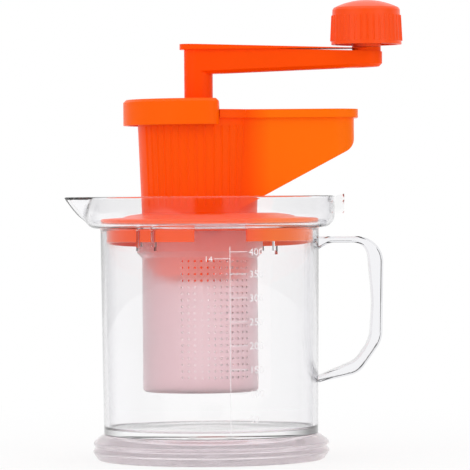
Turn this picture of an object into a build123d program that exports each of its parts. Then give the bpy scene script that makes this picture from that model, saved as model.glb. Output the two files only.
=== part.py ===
from build123d import *
import math
import os

# A hand cranked juicer that stands on a clear measuring cup, in millimetres and degrees.
# The origin is on the cup's axis at table level. +Z is up, +X points to the cup's handle
# and -X to its pouring lip. The barrel and all that turns in it stand on an axis of
# their own, a little way towards the lip.

# Fits shared by several pieces
running_clearance = 0.05
sliding_clearance = 0.4
moulded_gap = 0.3
# How far a feature reaches into the wall that it is moulded on, and a cut past what it cuts
root_depth = 0.5
cut_margin = 1.0

# Suction foot
foot_height = 10.1
foot_flare = 4.5
foot_upper_ridge_height = 6.6
foot_lower_ridge_height = 3.6
foot_notch_depth = 1.1
foot_lip_inset = 2.2
foot_lip_width = 2.6
foot_dish_height = 2.4
foot_pad_height = 5.4
foot_stub_radius = 4.0
foot_ridge_bevel = 0.5

# Measuring cup
cup_height = 81.1
cup_base_radius = 42.3
cup_draft = 0.85
cup_wall = 1.9
cup_floor_thickness = 2.5
cup_floor_bevel = 1.2
cup_ring_inset = 2.1
cup_ring_width = 1.7
cup_ring_depth = 3.1
cup_boss_wall = 2.6

# Tray round the cup's mouth, with its pouring lip and thumb lug
tray_plate = 1.6
tray_ledge = 6.25
tray_depth = 12.5
tray_corner = 4.7
tray_inner_bevel = 3.0
tray_wall = 1.6
lip_overhang = 9.0
lip_rise = 2.3
lip_root = 5.8
lip_levels = (
    # share of the lip's height, tip's setback, half width at the back, tip radius
    (0.0, 8.9, 22.0, 8.0),
    (0.34, 4.1, 24.0, 6.0),
    (0.67, 1.5, 23.4, 5.0),
    (1.0, 0.0, 23.2, 4.0),
)
lug_overhang = 3.7
lug_width = 12.0
lug_height = 7.7
lug_shelf = 3.2
lug_web = 4.0
lug_proud = 0.6
lug_corner = 1.5

# Guide ribs inside the cup's mouth
guide_angles = (-126.3, 53.7)
guide_rib_spacing = 9.9
guide_rib_width = 1.5
guide_rib_depth = 1.9
guide_drop = 8.4
guide_shelf = 1.6
guide_shelf_margin = 1.5

# Cup handle
handle_drop = 3.7
handle_span = 57.9
handle_overhang = 25.35
handle_width = 11.0
handle_grip_thickness = 5.0
handle_bar_thickness = 2.4
handle_upper_root = 6.2
handle_lower_root = 2.0
handle_taper = 0.8
handle_bend_height = 16.9
handle_tail_height = 4.0
handle_tail_inset = 10.0
handle_inner_tail_height = 9.0
handle_inner_tail_inset = 6.5
handle_inner_top_inset = 1.7
handle_inner_bow_height = 32.4
handle_inner_bow = 0.3
handle_gusset = 7.2
handle_outer_bends = (10.3, 12.0, 9.0)
handle_inner_bends = (4.0, 6.0, 50.0, 14.0, 9.0)
handle_edge = 0.7

# Head: lid disc, skirt and neck
barrel_offset = -3.95
disc_seat = 1.75
disc_edge = 2.1
disc_bevel = 0.6
disc_crown = 4.2
disc_thickness = 2.1
skirt_depth = 6.5
skirt_wall = 1.8
skirt_window = (-98.0, -69.0)
neck_step = 2.1
neck_wall = 1.8

# Barrel
barrel_low_radius = 22.6
barrel_draft = 1.75
barrel_wall = 1.8
barrel_floor = 2.2
rib_pitch = 8.0
rib_count = 15
rib_turn = -2.0
rib_start = 7.2
rib_width = 1.9
rib_proud = 0.45
rib_root = 0.3

# Hopper
hopper_rise = 44.7
hopper_reach = 61.0
hopper_half_width = 16.5
hopper_wall = 1.8
hopper_corner = 9.0
hopper_slope = 28.0
hopper_depth = 14.9
hopper_heel_radius = 6.0
hopper_rim_depth = 3.3
hopper_rim_lip = 1.6

# Bearing cap and the flange under it
cap_overhang = 5.45
cap_height = 10.1
cap_rise = 4.3
cap_plate = 3.5
cap_wall = 1.6
cap_corner = 5.0
cap_edge = 1.1
cap_boss_wall = 2.65
cap_boss_margin = 0.2
cap_boss_depth = 3.3
flange_thickness = 2.6
catch_height = 1.6
catch_width = 8.0
catch_depth = 0.9

# Crank
crank_radius = 66.4
journal_radius = 5.2
post_shoulder = 0.45
post_rise = 9.8
post_root = 3.0
arm_depth_at_post = 12.2
arm_depth_at_knob = 6.9
arm_drop = 2.4
arm_flange = 2.2
arm_flange_radius = 7.4
arm_end_radius = 6.4
arm_end_step = 0.2
arm_pocket_radius = 3.6
arm_pocket_start = 12.0
arm_pocket_depth = 5.0
arm_edge = 1.2
arm_seat = 0.6

# Knob and its pin
knob_base_radius = 13.9
knob_draft = 0.6
knob_lift = 1.7
knob_side_height = 14.3
knob_dome = 3.3
knob_bevel = 0.6
knob_wall = 1.6
knob_hub_wall = 2.7
knob_rib_count = 36
knob_rib_proud = 0.4
knob_rib_width = 1.5
knob_rib_margin = 1.4
knob_rib_slack = 0.1
pin_radius = 3.0
pin_tip = 0.8
pin_depth = 6.7
pin_bead_depth = 2.8
pin_bead = 0.4
pin_head_lip = 1.6
pin_head_height = 2.0

# Drive rod, clip and washer
hex_flat = 6.0
rod_socket = 7.4
rod_tip_step = 0.5
rod_shoulder_gap = 0.8
clip_thickness = 1.2
clip_lip = 2.8
clip_groove = 0.8
clip_opening = 6.0
washer_thickness = 1.4
washer_lip = 3.0

# Auger, grinding cone and ring
hub_wall = 2.8
hub_flare = 3.0
hub_socket_depth = 2.4
flight_pitch = 15.0
flight_thickness = 2.2
flight_root = 2.0
flight_start = 1.5
flight_stop = 5.05
cone_height = 16.4
cone_teeth = 12
cone_tooth_depth = 2.0
cone_twist = 12.0
grinding_gap = 0.6
ring_height = 11.4
ring_top_wall = 1.7
ring_bottom_wall = 4.1
ring_teeth = 20
ring_tooth_depth = 0.9

# Bowl under the barrel, with the bush in its floor
bowl_floor = 2.0
bowl_corner = 8.0
bowl_seat = 1.5
bowl_cone_gap = 2.4
bowl_slot_count = 6
bowl_slot_width = 4.4
bowl_slot_margin = 0.5
bowl_slot_end = 3.5
bush_wall = 1.5
bush_flange_lip = 1.6
bush_flange = 1.0
bush_boss_wall = 2.4
bush_boss_height = 4.5

# Strainer and its bayonet
strainer_depth = 65.7
strainer_clearance = 2.2
strainer_wall = 1.5
strainer_corner = 1.6
collar_clearance = 4.4
collar_drop = 1.4
collar_height = 8.4
collar_wall = 1.6
collar_flange = 1.6
lug_angles = (-77.4, 42.6, 162.6)
bayonet_lug_width = 4.0
bayonet_lug_height = 2.5
bayonet_gap_width = 7.0
bayonet_twist = 30.0
grip_angles = (-160.0, 20.0)
grip_reach = 2.8
grip_width = 4.0
grip_height = 7.0
hole_size = 2.4
hole_rows = 8
hole_columns = 5
hole_column_pitch = 15.0
hole_margin = 6.0
panel_angles = (-71.4, 108.6)

# Heights that follow from the sizes above, from the table up
tray_height = foot_height + cup_height
ledge_height = tray_height + tray_plate
rim_height = tray_height + tray_depth
cup_floor_height = foot_height + cup_floor_thickness
ring_groove_height = foot_height - cup_ring_depth
cup_boss_height = foot_pad_height + 2 * running_clearance
handle_top = tray_height - handle_drop
handle_bottom = handle_top - handle_span
lip_start_height = tray_height + lip_rise
guide_bottom = tray_height - guide_drop
skirt_bottom = ledge_height - skirt_depth
barrel_floor_height = ledge_height + barrel_floor
hopper_rim_height = ledge_height + hopper_rise
hopper_heel_height = hopper_rim_height - hopper_depth
cap_top = hopper_rim_height + cap_rise
cap_bottom = cap_top - cap_height
cap_plate_bottom = cap_top - cap_plate
cap_boss_bottom = cap_plate_bottom - cap_boss_depth
flange_height = cap_plate_bottom - flange_thickness
rib_bottom = ledge_height + rib_start
rib_top = cap_bottom - 2 * moulded_gap
clip_top = cap_boss_bottom - moulded_gap
clip_bottom = clip_top - clip_thickness
washer_top = clip_bottom - running_clearance
hub_top = washer_top - washer_thickness
journal_end = hub_top - hub_socket_depth + moulded_gap
cone_top = barrel_floor_height + moulded_gap
cone_bottom = cone_top - cone_height
ring_bottom = barrel_floor_height - ring_height
bush_flange_top = cone_bottom - bowl_cone_gap
bush_top = bush_flange_top - bush_flange
bowl_bottom = bush_top - bush_boss_height
rod_bottom = bowl_bottom + moulded_gap
rod_tip_top = bush_flange_top + rod_shoulder_gap
arm_bottom_at_post = cap_top + post_rise
arm_top_at_post = arm_bottom_at_post + arm_depth_at_post
arm_top_at_knob = arm_top_at_post - arm_drop
arm_bottom_at_knob = arm_top_at_knob - arm_depth_at_knob
arm_seat_height = arm_top_at_knob + arm_seat
rod_top = arm_bottom_at_post + rod_socket
hub_end_height = arm_seat_height + 2 * running_clearance
knob_bottom = arm_top_at_knob + knob_lift
knob_side_top = knob_bottom + knob_side_height
knob_top = knob_side_top + knob_dome
pin_top = knob_top - pin_depth
pin_bead_height = pin_top - pin_bead_depth
pin_head_top = arm_bottom_at_knob + pin_head_height
strainer_bottom = ledge_height - strainer_depth
collar_top = ledge_height - collar_drop
collar_flange_bottom = collar_top - collar_flange
collar_bottom = collar_top - collar_height
bayonet_lug_top = collar_flange_bottom - 2 * moulded_gap

# Radii that follow from the sizes above
cup_top_radius = cup_base_radius + cup_draft
cup_mouth_radius = cup_top_radius - cup_wall
wall_slope = cup_draft / cup_height
foot_ridge_radius = cup_base_radius + foot_flare
cup_ring_radius = cup_base_radius - cup_ring_inset
cup_ring_inner_radius = cup_ring_radius - cup_ring_width
tray_radius = cup_top_radius + tray_ledge
tray_inner_radius = tray_radius - tray_wall
lip_reach = tray_radius + lip_overhang
lug_reach = tray_radius + lug_overhang
handle_reach = cup_top_radius + handle_overhang
disc_radius = cup_mouth_radius + disc_seat
skirt_radius = cup_mouth_radius - wall_slope * skirt_depth - sliding_clearance
skirt_inner_radius = skirt_radius - skirt_wall
crown_radius = barrel_low_radius - barrel_offset
neck_radius = barrel_low_radius - neck_step
bowl_bore_radius = neck_radius - neck_wall
bowl_seat_radius = bowl_bore_radius - bowl_seat
barrel_bore_radius = barrel_low_radius - barrel_wall
barrel_top_radius = barrel_low_radius + barrel_draft
cap_radius = barrel_top_radius + cap_overhang
cap_boss_radius = journal_radius + running_clearance + cap_boss_wall
cap_chord = cap_boss_radius + cap_boss_margin
flange_radius = cap_radius - cap_wall - moulded_gap
flange_chord = cap_chord - cap_wall - moulded_gap
flange_corner = cap_corner - cap_wall - moulded_gap
post_radius = journal_radius + post_shoulder
clip_radius = journal_radius + clip_lip
groove_radius = journal_radius - clip_groove
washer_radius = journal_radius + washer_lip
hub_top_radius = journal_radius + hub_wall
hub_bottom_radius = hub_top_radius + hub_flare
flight_radius = barrel_bore_radius - sliding_clearance
ring_top_bore = bowl_bore_radius - ring_top_wall
ring_bottom_bore = bowl_bore_radius - ring_bottom_wall
cone_slope = (ring_top_bore - ring_bottom_bore) / ring_height
cone_top_radius = ring_top_bore - grinding_gap
cone_bottom_radius = cone_top_radius - cone_slope * cone_height
rod_tip_radius = hex_flat / 2 - rod_tip_step
bush_radius = rod_tip_radius + bush_wall
bush_flange_radius = bush_radius + bush_flange_lip
bush_boss_radius = bush_radius + bush_boss_wall
bowl_slot_inner = bush_boss_radius + bowl_slot_margin
bowl_slot_outer = bowl_bore_radius - bowl_slot_end
knob_side_radius = knob_base_radius - knob_draft
knob_hub_radius = pin_radius + knob_hub_wall
pin_head_radius = pin_radius + pin_head_lip
strainer_radius = neck_radius + strainer_clearance
strainer_inner_radius = strainer_radius - strainer_wall
collar_radius = neck_radius + collar_clearance
collar_inner_radius = collar_radius - collar_wall
bayonet_lug_reach = collar_inner_radius - sliding_clearance

head_origin = (barrel_offset, 0, 0)
head_axis = Axis(head_origin, (0, 0, 1))
head_section = Plane(head_origin, x_dir=(1, 0, 0), z_dir=(0, -1, 0))
knob_axis = Axis((barrel_offset + crank_radius, 0, 0), (0, 0, 1))
knob_section = Plane((barrel_offset + crank_radius, 0, 0), x_dir=(1, 0, 0), z_dir=(0, -1, 0))


def head_level(height):
    """A level plane whose origin is on the barrel's axis."""
    return Plane((barrel_offset, 0, height))


def knob_level(height):
    """A level plane whose origin is on the knob's axis."""
    return Plane((barrel_offset + crank_radius, 0, height))


def barrel_radius(height):
    """The drafted barrel's outer radius at a height."""
    share = (height - ledge_height) / (hopper_rim_height - ledge_height)
    return barrel_low_radius + share * (barrel_top_radius - barrel_low_radius)


def d_outline(height, radius, chord, corner):
    """A circle cut by a chord on its +X side, with its two corners rounded."""
    with BuildSketch(head_level(height)) as outline:
        Circle(radius)
        with Locations((chord, 0)):
            Rectangle(
                2 * radius, 2 * radius, align=(Align.MAX, Align.CENTER), mode=Mode.INTERSECT
            )
        fillet(outline.vertices().group_by(Axis.X)[-1], corner)
    return outline.sketch


def toothed_outline(level, radius, depth, teeth, turn):
    """A closed outline of straight-sided teeth on a level plane."""
    step = 180 / teeth
    corners = []
    for corner in range(2 * teeth):
        reach = radius if corner % 2 == 0 else radius - depth
        angle = math.radians(corner * step + turn)
        corners.append((reach * math.cos(angle), reach * math.sin(angle)))
    with BuildSketch(head_level(level)) as outline:
        with BuildLine():
            Polyline(*corners, close=True)
        make_face()
    return outline.sketch


# Suction foot: a soft pad with two ridges, dished underneath so that it grips the table.
with BuildPart() as suction_foot:
    with BuildSketch(Plane.XZ) as foot_section:
        with BuildLine():
            notch_height = (foot_upper_ridge_height + foot_lower_ridge_height) / 2
            groove_radius_inside = cup_ring_inner_radius - moulded_gap
            Polyline(
                (0, foot_dish_height),
                (0, foot_height - moulded_gap),
                (foot_stub_radius, foot_height - moulded_gap),
                (foot_stub_radius, foot_pad_height),
                (groove_radius_inside, foot_pad_height),
                (groove_radius_inside, ring_groove_height),
                (cup_ring_radius, ring_groove_height),
                (cup_ring_radius, foot_height),
                (cup_base_radius, foot_height),
                (foot_ridge_radius, foot_upper_ridge_height),
                (foot_ridge_radius - foot_notch_depth, notch_height),
                (foot_ridge_radius, foot_lower_ridge_height),
                (foot_ridge_radius - foot_lip_inset, 0),
                (foot_ridge_radius - foot_lip_inset - foot_lip_width, 0),
                (foot_stub_radius, foot_dish_height),
                close=True,
            )
        make_face()
        ridge_tip = foot_section.vertices().group_by(Axis.X)[-1].sort_by(Axis.Y)[-1]
        chamfer(ridge_tip, foot_ridge_bevel)
    revolve(axis=Axis.Z)
suction_foot.part.label = "suction_foot"
export_step(suction_foot.part, "parts/suction_foot.step")


# Measuring cup: one turned form with its tray, then the pouring lip, thumb lug and guides.
lip_back = tray_inner_radius - lip_root


def lip_block(inset, lift):
    """The pouring lip's outer form, or its channel when inset by the wall."""
    with BuildPart() as block:
        for share, setback, half_width, tip_radius in lip_levels:
            height = lip_start_height + share * (rim_height - lip_start_height)
            with BuildSketch(Plane.XY.offset(height + lift * (1 - share))) as outline:
                with BuildLine():
                    Polyline(
                        (-lip_back, half_width),
                        (-lip_back, -half_width),
                        (setback - lip_reach, 0),
                        close=True,
                    )
                make_face()
                fillet(outline.vertices().sort_by(Axis.X)[0], tip_radius)
                if inset > 0:
                    offset(amount=-inset, mode=Mode.REPLACE)
        loft()
    return block.part


with BuildPart() as measuring_cup:
    with BuildSketch(Plane.XZ):
        with BuildLine():
            Polyline(
                (tray_radius - tray_corner, tray_height),
                (cup_top_radius, tray_height),
                (cup_base_radius, foot_height),
                (cup_ring_radius, foot_height),
                (cup_ring_radius, ring_groove_height),
                (cup_ring_inner_radius, ring_groove_height),
                (cup_ring_inner_radius, foot_height),
                (foot_stub_radius + cup_boss_wall, foot_height),
                (foot_stub_radius + cup_boss_wall, cup_boss_height),
                (foot_stub_radius + running_clearance, cup_boss_height),
                (foot_stub_radius + running_clearance, foot_height),
                (0, foot_height),
                (0, rim_height),
                (tray_radius, rim_height),
                (tray_radius, tray_height + tray_corner),
            )
            CenterArc((tray_radius - tray_corner, tray_height + tray_corner), tray_corner, -90, 90)
        make_face()
    revolve(axis=Axis.Z)
    add(lip_block(0, 0))
    with BuildSketch(Plane.XZ) as hollow_section:
        with BuildLine():
            Polyline(
                (cup_mouth_radius, ledge_height),
                (cup_base_radius - cup_wall, cup_floor_height),
                (0, cup_floor_height),
                (0, rim_height + cut_margin),
                (tray_inner_radius, rim_height + cut_margin),
                (tray_inner_radius, ledge_height + tray_inner_bevel),
                (tray_inner_radius - tray_inner_bevel, ledge_height),
                close=True,
            )
        make_face()
        floor_corner = hollow_section.vertices().group_by(Axis.Y)[0].sort_by(Axis.X)[-1]
        chamfer(floor_corner, cup_floor_bevel)
    revolve(axis=Axis.Z, mode=Mode.SUBTRACT)
    add(lip_block(tray_wall, tray_wall), mode=Mode.SUBTRACT)
    # Thumb lug: a shelf on a web, outside the rim over the handle.
    lug_start = tray_radius - root_depth
    lug_top = rim_height + lug_proud
    with BuildSketch(Plane.XY.offset(lug_top - lug_shelf)) as lug_plan:
        with Locations((lug_start, 0)):
            Rectangle(lug_reach - lug_start, lug_width, align=(Align.MIN, Align.CENTER))
        fillet(lug_plan.vertices().group_by(Axis.X)[-1], lug_corner)
    extrude(amount=lug_shelf)
    with BuildSketch(Plane.XY.offset(lug_top - lug_height)):
        with Locations((lug_start, 0)):
            Rectangle(lug_reach - lug_start, lug_web, align=(Align.MIN, Align.CENTER))
    extrude(amount=lug_height - lug_shelf)
    # Guide ribs in pairs, each pair on a small shelf.
    guide_radius = cup_mouth_radius - guide_rib_depth
    guide_reach = guide_rib_depth + root_depth
    for guide_angle in guide_angles:
        for side in (-0.5, 0.5):
            rib_angle = guide_angle + side * guide_rib_spacing
            with BuildSketch(Plane.XY.offset(guide_bottom)):
                with PolarLocations(guide_radius, 1, start_angle=rib_angle):
                    Rectangle(guide_reach, guide_rib_width, align=(Align.MIN, Align.CENTER))
            extrude(amount=tray_height - guide_bottom)
        shelf_turn = guide_rib_spacing + 2 * guide_shelf_margin
        with BuildSketch(Plane.XZ.rotated((0, 0, guide_angle - shelf_turn / 2))):
            with Locations((guide_radius, guide_bottom)):
                Rectangle(guide_reach, guide_shelf, align=(Align.MIN, Align.MIN))
        revolve(axis=Axis.Z, revolution_arc=shelf_turn)
measuring_cup.part.label = "measuring_cup"
export_step(measuring_cup.part, "parts/measuring_cup.step")


# Cup handle: a flat loop, thicker where the hand holds it, shaped to the cup's wall.
with BuildPart() as cup_handle:
    grip_inside = handle_reach - handle_grip_thickness
    root = cup_base_radius - cup_wall
    with BuildSketch(Plane.XZ):
        with BuildLine():
            FilletPolyline(
                (root, handle_top),
                (handle_reach, handle_top),
                (handle_reach - handle_taper, handle_bottom + handle_bend_height),
                (handle_reach - handle_tail_inset, handle_bottom + handle_tail_height),
                (root, handle_bottom),
                radius=handle_outer_bends,
            )
            FilletPolyline(
                (root, handle_top - handle_upper_root),
                (root + handle_gusset, handle_top - handle_bar_thickness),
                (grip_inside - handle_inner_top_inset, handle_top - handle_bar_thickness),
                (grip_inside + handle_inner_bow, handle_bottom + handle_inner_bow_height),
                (grip_inside - handle_taper, handle_bottom + handle_bend_height),
                (
                    grip_inside - handle_inner_tail_inset,
                    handle_bottom + handle_inner_tail_height,
                ),
                (root, handle_bottom + handle_lower_root),
                radius=handle_inner_bends,
            )
            Line((root, handle_top), (root, handle_top - handle_upper_root))
            Line((root, handle_bottom), (root, handle_bottom + handle_lower_root))
        make_face()
    extrude(amount=handle_width / 2, both=True)
    side_faces = cup_handle.faces().filter_by(Axis.Y)
    chamfer(side_faces.edges().filter_by(lambda edge: edge.center().X > root + 0.1), handle_edge)
    with BuildSketch(Plane.XZ):
        with BuildLine():
            Polyline(
                (0, foot_height),
                (cup_base_radius, foot_height),
                (cup_top_radius, tray_height),
                (0, tray_height),
                close=True,
            )
        make_face()
    revolve(axis=Axis.Z, mode=Mode.SUBTRACT)
cup_handle.part.label = "cup_handle"
export_step(cup_handle.part, "parts/cup_handle.step")


# Juicer body: barrel, neck, bowl, lid disc, skirt and hopper in one moulding.
def hopper_block(inset, base, top):
    """The hopper's outer form, or its hollow when drawn in by the wall."""
    rise = math.tan(math.radians(hopper_slope))
    lift = inset / math.cos(math.radians(hopper_slope))
    reach = hopper_reach - inset
    half_width = hopper_half_width - inset
    heel = hopper_heel_height - inset * rise + lift
    with BuildPart() as block:
        with BuildSketch(head_section) as side:
            with BuildLine():
                Polyline(
                    (0, top),
                    (0, heel - reach * rise),
                    (reach, heel),
                    (reach, top),
                    close=True,
                )
            make_face()
            heel_corner = side.vertices().group_by(Axis.X)[-1].sort_by(Axis.Y)[0]
            fillet(heel_corner, hopper_heel_radius - inset)
        extrude(amount=half_width, both=True)
        with BuildSketch(head_level(base)) as plan:
            Rectangle(reach, 2 * half_width, align=(Align.MIN, Align.CENTER))
            fillet(plan.vertices().group_by(Axis.X)[-1], hopper_corner - inset)
        extrude(amount=top - base, mode=Mode.INTERSECT)
    return block.part


def barrel_rib():
    """One vertical rib on the drafted barrel, standing at +X."""
    with BuildPart() as rib:
        for height in (rib_bottom, rib_top):
            surface = barrel_radius(height)
            base = surface - rib_root
            with BuildSketch(head_level(height)):
                with BuildLine():
                    Polyline(
                        (base, -rib_width / 2),
                        (surface + rib_proud, 0),
                        (base, rib_width / 2),
                        close=True,
                    )
                make_face()
        loft(ruled=True)
    return rib.part


with BuildPart() as juicer_body:
    with BuildSketch(head_section):
        with BuildLine():
            Polyline(
                (neck_radius, bowl_bottom + bowl_corner),
                (neck_radius, ledge_height),
                (barrel_low_radius, ledge_height),
                (barrel_top_radius, hopper_rim_height),
                (0, hopper_rim_height),
                (0, bowl_bottom),
                (neck_radius - bowl_corner, bowl_bottom),
                (neck_radius - bowl_corner / 3, bowl_bottom + bowl_corner / 3),
                close=True,
            )
        make_face()
    revolve(axis=head_axis)
    # Lid disc and skirt, turned about the cup's axis.
    crown_height = ledge_height + disc_crown
    disc_underside = ledge_height + disc_edge - disc_thickness + moulded_gap
    crown_inner_radius = barrel_low_radius + barrel_offset - root_depth
    with BuildSketch(Plane.XZ) as disc_section:
        with BuildLine():
            Polyline(
                (crown_inner_radius, crown_height),
                (crown_radius, crown_height),
                (disc_radius, ledge_height + disc_edge),
                (disc_radius, ledge_height),
                (skirt_radius, ledge_height),
                (skirt_radius, skirt_bottom),
                (skirt_inner_radius, skirt_bottom),
                (skirt_inner_radius, disc_underside),
                (crown_radius, crown_height - disc_thickness),
                (crown_inner_radius, crown_height - disc_thickness),
                close=True,
            )
        make_face()
        rim_corner = disc_section.vertices().group_by(Axis.X)[-1].sort_by(Axis.Y)[-1]
        chamfer(rim_corner, disc_bevel)
    revolve(axis=Axis.Z)
    # Window in the skirt, in front of a bayonet lug.
    window_height = skirt_depth - moulded_gap
    with BuildSketch(Plane.XZ.rotated((0, 0, skirt_window[0]))):
        with Locations((skirt_inner_radius - cut_margin, skirt_bottom - cut_margin)):
            Rectangle(
                skirt_wall + 2 * cut_margin,
                window_height + cut_margin,
                align=(Align.MIN, Align.MIN),
            )
    revolve(axis=Axis.Z, revolution_arc=skirt_window[1] - skirt_window[0], mode=Mode.SUBTRACT)
    # Slots in the skirt for the cup's guide ribs.
    slot_angles = [
        angle + side * guide_rib_spacing for angle in guide_angles for side in (-0.5, 0.5)
    ]
    for slot_angle in slot_angles:
        with BuildSketch(Plane.XY.offset(skirt_bottom - cut_margin)):
            with PolarLocations(skirt_inner_radius - cut_margin, 1, start_angle=slot_angle):
                Rectangle(
                    skirt_wall + 2 * cut_margin,
                    guide_rib_width + 2 * moulded_gap,
                    align=(Align.MIN, Align.CENTER),
                )
        extrude(amount=window_height + cut_margin, mode=Mode.SUBTRACT)
    # Hopper, its rolled rim, and the flange that holds the cap.
    add(hopper_block(0, ledge_height, hopper_rim_height))
    with BuildSketch(head_level(hopper_rim_height - hopper_rim_depth)) as rim_plan:
        Circle(barrel_top_radius)
        Rectangle(hopper_reach, 2 * hopper_half_width, align=(Align.MIN, Align.CENTER))
        far_corners = rim_plan.vertices().group_by(Axis.X)[-1]
        fillet(far_corners, hopper_corner)
        offset(amount=hopper_rim_lip)
        with Locations((cap_chord + moulded_gap, 0)):
            Rectangle(
                2 * hopper_reach,
                4 * hopper_reach,
                align=(Align.MIN, Align.CENTER),
                mode=Mode.INTERSECT,
            )
    extrude(amount=hopper_rim_depth)
    add(d_outline(flange_height, flange_radius, flange_chord, flange_corner))
    extrude(amount=flange_thickness)
    # Decorative ribs, front and back.
    rib = barrel_rib()
    ribs = []
    for side in (-90, 90):
        for index in range(rib_count):
            turn = side + rib_turn + (index - (rib_count - 1) / 2) * rib_pitch
            ribs.append(rib.rotate(head_axis, turn))
    add(ribs)
    # Bore, hopper hollow and bowl hollow.
    with BuildSketch(head_level(barrel_floor_height)):
        Circle(barrel_bore_radius)
    extrude(amount=cap_top, mode=Mode.SUBTRACT)
    add(hopper_block(hopper_wall, barrel_floor_height, cap_top), mode=Mode.SUBTRACT)
    with BuildSketch(head_section):
        with BuildLine():
            bowl_inner_height = bowl_bottom + bowl_floor
            bowl_inner_corner = bowl_corner - 2 * bowl_floor
            Polyline(
                (bowl_seat_radius, ring_bottom),
                (bowl_bore_radius, ring_bottom),
                (bowl_bore_radius, barrel_floor_height + cut_margin),
                (0, barrel_floor_height + cut_margin),
                (0, bowl_inner_height),
                (bowl_seat_radius - bowl_inner_corner, bowl_inner_height),
                (bowl_seat_radius, bowl_inner_height + bowl_inner_corner),
                close=True,
            )
        make_face()
    revolve(axis=head_axis, mode=Mode.SUBTRACT)
    # Bush boss, its bore, and the slots that the pulp leaves by.
    with BuildSketch(head_level(bowl_bottom)):
        Circle(bush_boss_radius)
    extrude(amount=bush_boss_height)
    with BuildSketch(head_level(bowl_bottom)):
        Circle(bush_radius + running_clearance)
    extrude(amount=bush_boss_height, mode=Mode.SUBTRACT)
    with BuildSketch(head_level(bowl_bottom)):
        with PolarLocations(bowl_slot_inner, bowl_slot_count):
            Rectangle(
                bowl_slot_outer - bowl_slot_inner,
                bowl_slot_width,
                align=(Align.MIN, Align.CENTER),
            )
    extrude(amount=bowl_corner, mode=Mode.SUBTRACT)
    # Bayonet lugs on the neck.
    for lug_angle in lug_angles:
        with BuildSketch(head_level(bayonet_lug_top - bayonet_lug_height)):
            with PolarLocations(neck_radius - root_depth, 1, start_angle=lug_angle):
                Rectangle(
                    bayonet_lug_reach - neck_radius + root_depth,
                    bayonet_lug_width,
                    align=(Align.MIN, Align.CENTER),
                )
        extrude(amount=bayonet_lug_height)
juicer_body.part.label = "juicer_body"
export_step(juicer_body.part, "parts/juicer_body.step")


# Bearing cap: a D-shaped shell with a bored boss, snapped over the flange.
with BuildPart() as bearing_cap:
    add(d_outline(cap_bottom, cap_radius, cap_chord, cap_corner))
    extrude(amount=cap_top - cap_bottom)
    chamfer(bearing_cap.faces().sort_by(Axis.Z)[-1].edges(), cap_edge)
    pocket_radius = cap_radius - cap_wall
    add(d_outline(cap_bottom, pocket_radius, cap_chord - cap_wall, cap_corner - cap_wall))
    extrude(amount=cap_plate_bottom - cap_bottom, mode=Mode.SUBTRACT)
    # The chord's wall stops short of the barrel, so that food can pass under the plate.
    with BuildSketch(head_level(cap_bottom)):
        with Locations((cap_chord - cap_wall - cut_margin, 0)):
            Rectangle(
                cap_wall + 2 * cut_margin,
                2 * (barrel_top_radius + moulded_gap),
                align=(Align.MIN, Align.CENTER),
            )
    extrude(amount=cap_plate_bottom - cap_bottom, mode=Mode.SUBTRACT)
    with BuildSketch(head_level(cap_boss_bottom)):
        Circle(cap_boss_radius)
    extrude(amount=cap_boss_depth)
    with BuildSketch(head_level(cap_boss_bottom)):
        Circle(journal_radius + running_clearance)
    extrude(amount=cap_top - cap_boss_bottom, mode=Mode.SUBTRACT)
    # Catches under the flange.
    catch_top = flange_height - moulded_gap
    for catch_angle in (120, 180, 240):
        with BuildSketch(head_level(catch_top - catch_height)):
            with PolarLocations(pocket_radius - catch_depth, 1, start_angle=catch_angle):
                Rectangle(catch_depth + root_depth, catch_width, align=(Align.MIN, Align.CENTER))
        extrude(amount=catch_height)
bearing_cap.part.label = "bearing_cap"
export_step(bearing_cap.part, "parts/bearing_cap.step")


# Crank: a tapered arm with a top flange, on a round post that is journalled in the cap.
def arm_layer(post_end, knob_end, low_at_post, high_at_post, low_at_knob, high_at_knob):
    """A bar from the post's axis to the knob's, round at both ends, with sloping edges."""
    with BuildPart() as layer:
        with BuildSketch(head_section):
            with BuildLine():
                Polyline(
                    (-post_end, low_at_post),
                    (crank_radius + knob_end, low_at_knob),
                    (crank_radius + knob_end, high_at_knob),
                    (-post_end, high_at_post),
                    close=True,
                )
            make_face()
        extrude(amount=2 * post_end, both=True)
        with BuildSketch(head_level(low_at_post)):
            Circle(post_end)
            with Locations((crank_radius, 0)):
                Circle(knob_end)
            make_hull()
        extrude(amount=high_at_post - low_at_post, mode=Mode.INTERSECT)
    return layer.part


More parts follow.
